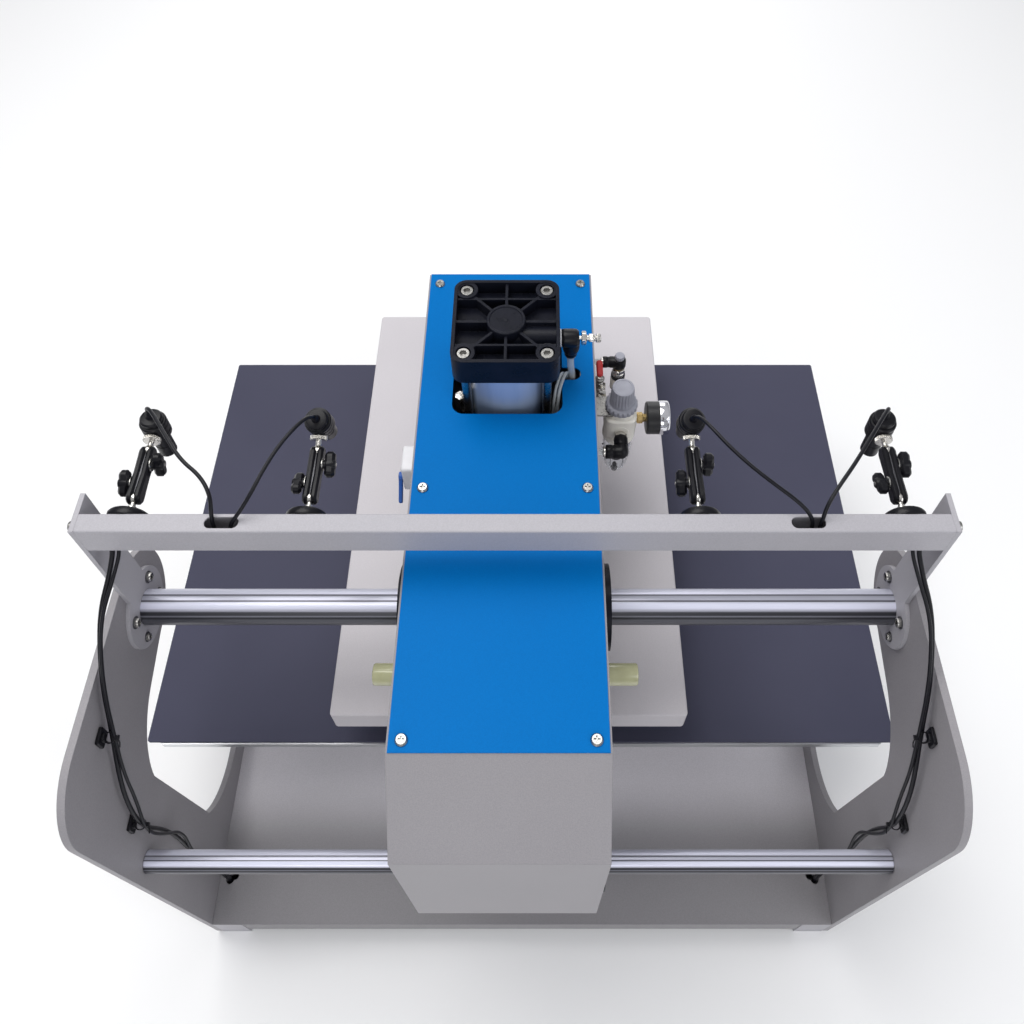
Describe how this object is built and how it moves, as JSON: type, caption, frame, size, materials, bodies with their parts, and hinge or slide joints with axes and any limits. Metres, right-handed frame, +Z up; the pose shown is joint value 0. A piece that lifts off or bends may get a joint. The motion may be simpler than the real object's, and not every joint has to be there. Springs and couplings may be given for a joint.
{
  "type": "heat press",
  "caption": "Pneumatic heat press whose head slides along a round rail between lower platens, with positioning lamps on a beam.",
  "frame": {"origin": "centre of the four base bolts, on the surface that the base stands on", "axes": "+X along the main rail, to the right seen from behind; +Y towards the operator; +Z up"},
  "size_m": [0.968, 0.821, 0.791],
  "materials": {
    "beige_powder_coat": "fine textured powder coat, light warm grey",
    "blue_coat": "satin blue coat",
    "chromed_rail": "hard chromed and ground",
    "zinc": "zinc plated",
    "dark_steel": "black oxide",
    "black_flange": "black",
    "silicone_mat": "matt",
    "machined_aluminium": "machined",
    "anodised_barrel": "clear anodised",
    "insulation": "pressed fibre board",
    "polyurethane": "translucent",
    "cap_black": "cast, satin black",
    "black_plastic": "moulded",
    "nickel": "nickel plated",
    "clear_tube": "translucent tube",
    "cream_body": "painted casting",
    "grey_knob": "moulded, fluted",
    "clear_bowl": "clear polycarbonate",
    "needle_black": "painted",
    "red_lever": "vinyl sleeve",
    "white_block": "moulded",
    "blue_lever": "moulded",
    "green_button": "moulded",
    "lamp_black": "black anodised",
    "cord_black": "matt sheath"
  },
  "bodies": {
    "frame": {"base_runners": "beige_powder_coat", "floor_panel": "beige_powder_coat", "side_plate_left": "beige_powder_coat", "side_plate_right": "beige_powder_coat", "main_rail": "chromed_rail", "rear_rail": "chromed_rail", "beam_brackets": "beige_powder_coat", "lamp_beam": "beige_powder_coat", "frame_bolts": "zinc", "pedestals": "dark_steel", "lower_platens": "machined_aluminium", "lower_mats": "silicone_mat", "side_cables": "cord_black", "cable_clips": "black_plastic", "lamp_bases": "zinc", "lamp_clamps": "black_plastic", "clamp_knobs": "black_plastic", "lamp_cord_outer_left": "cord_black", "lamp_cord_inner_left": "cord_black", "lamp_cord_inner_right": "cord_black", "lamp_cord_outer_right": "cord_black"},
    "head": {"head_housing": "beige_powder_coat", "top_cover": "blue_coat", "head_screws": "zinc", "main_bearings": "black_flange", "rear_bushes": "black_flange", "guide_bushes": "black_flange", "bumpers": "polyurethane", "cylinder_cap": "cap_black", "cylinder_barrel": "anodised_barrel", "cylinder_base": "machined_aluminium", "tie_rods": "zinc", "flow_control": "black_plastic", "cap_tube": "clear_tube", "regulator_body": "cream_body", "filter_bowl": "clear_bowl", "air_fittings": "black_plastic", "gauge_case": "black_plastic", "air_valve": "nickel", "hand_valve": "white_block", "control_box": "beige_powder_coat", "slide_handle": "black_plastic"},
    "ram": {"piston_rod": "chromed_rail", "ram_plate": "dark_steel", "guide_rods": "chromed_rail", "platen_cover": "beige_powder_coat", "heat_platen": "machined_aluminium", "insulation_board": "insulation"},
    "regulator_knob": {"regulator_knob": "grey_knob"},
    "gauge_needle": {"gauge_needle": "needle_black"},
    "flow_screw": {"flow_screw": "nickel"},
    "air_valve_handle": {"air_valve_handle": "red_lever"},
    "hand_valve_lever": {"hand_valve_lever": "blue_lever"},
    "start_button": {"start_button": "green_button"},
    "stop_button": {"stop_button": "red_lever"},
    "lamp_outer_left": {"lamp_outer_left": "lamp_black"},
    "lamp_inner_left": {"lamp_inner_left": "lamp_black"},
    "lamp_inner_right": {"lamp_inner_right": "lamp_black"},
    "lamp_outer_right": {"lamp_outer_right": "lamp_black"}
  },
  "joints": [
    {"name": "head_slide", "type": "slide", "parent": "frame", "child": "head", "axis": [1, 0, 0], "range_m": [-0.267, 0.293]},
    {"name": "ram_press", "type": "slide", "parent": "head", "child": "ram", "axis": [0, 0, 1], "range_m": [-0.062, 0]},
    {"name": "regulator_turn", "type": "hinge", "parent": "head", "child": "regulator_knob", "pos_m": [0.125, 0.087, 0.63], "axis": [0, 0, 1], "range_deg": [-540, 540]},
    {"name": "gauge_swing", "type": "hinge", "parent": "head", "child": "gauge_needle", "pos_m": [0.177, 0.087, 0.58], "axis": [1, 0, 0], "range_deg": [-135, 135]},
    {"name": "flow_screw_turn", "type": "hinge", "parent": "head", "child": "flow_screw", "pos_m": [0.077, 0.076, 0.752], "axis": [1, 0, 0], "range_deg": [-540, 540]},
    {"name": "air_valve_turn", "type": "hinge", "parent": "head", "child": "air_valve_handle", "pos_m": [0.099, 0.117, 0.615], "axis": [0, 0, 1], "range_deg": [-90, 0]},
    {"name": "hand_valve_turn", "type": "hinge", "parent": "head", "child": "hand_valve_lever", "pos_m": [-0.128, -0.03, 0.632], "axis": [1, 0, 0], "range_deg": [-45, 45]},
    {"name": "start_press", "type": "slide", "parent": "head", "child": "start_button", "axis": [0, -1, 0], "range_m": [0, 0.004], "stiffness_N_per_m": 400, "springref_m": -0.001},
    {"name": "stop_press", "type": "slide", "parent": "head", "child": "stop_button", "axis": [0, -1, 0], "range_m": [0, 0.004]},
    {"name": "lamp_outer_left_tilt", "type": "hinge", "parent": "frame", "child": "lamp_outer_left", "pos_m": [-0.38, -0.062, 0.736], "axis": [1, 0, 0], "range_deg": [-5, 30], "deforming": ["lamp_cord_outer_left"]},
    {"name": "lamp_inner_left_tilt", "type": "hinge", "parent": "frame", "child": "lamp_inner_left", "pos_m": [-0.205, -0.062, 0.736], "axis": [1, 0, 0], "range_deg": [-25, 15], "deforming": ["lamp_cord_inner_left"]},
    {"name": "lamp_inner_right_tilt", "type": "hinge", "parent": "frame", "child": "lamp_inner_right", "pos_m": [0.181, -0.062, 0.736], "axis": [1, 0, 0], "range_deg": [-25, 15], "deforming": ["lamp_cord_inner_right"]},
    {"name": "lamp_outer_right_tilt", "type": "hinge", "parent": "frame", "child": "lamp_outer_right", "pos_m": [0.382, -0.062, 0.736], "axis": [1, 0, 0], "range_deg": [-5, 30], "deforming": ["lamp_cord_outer_right"]}
  ],
  "couplings": [
    {"joint": "gauge_swing", "follows": "regulator_turn", "ratio": -0.2}
  ]
}
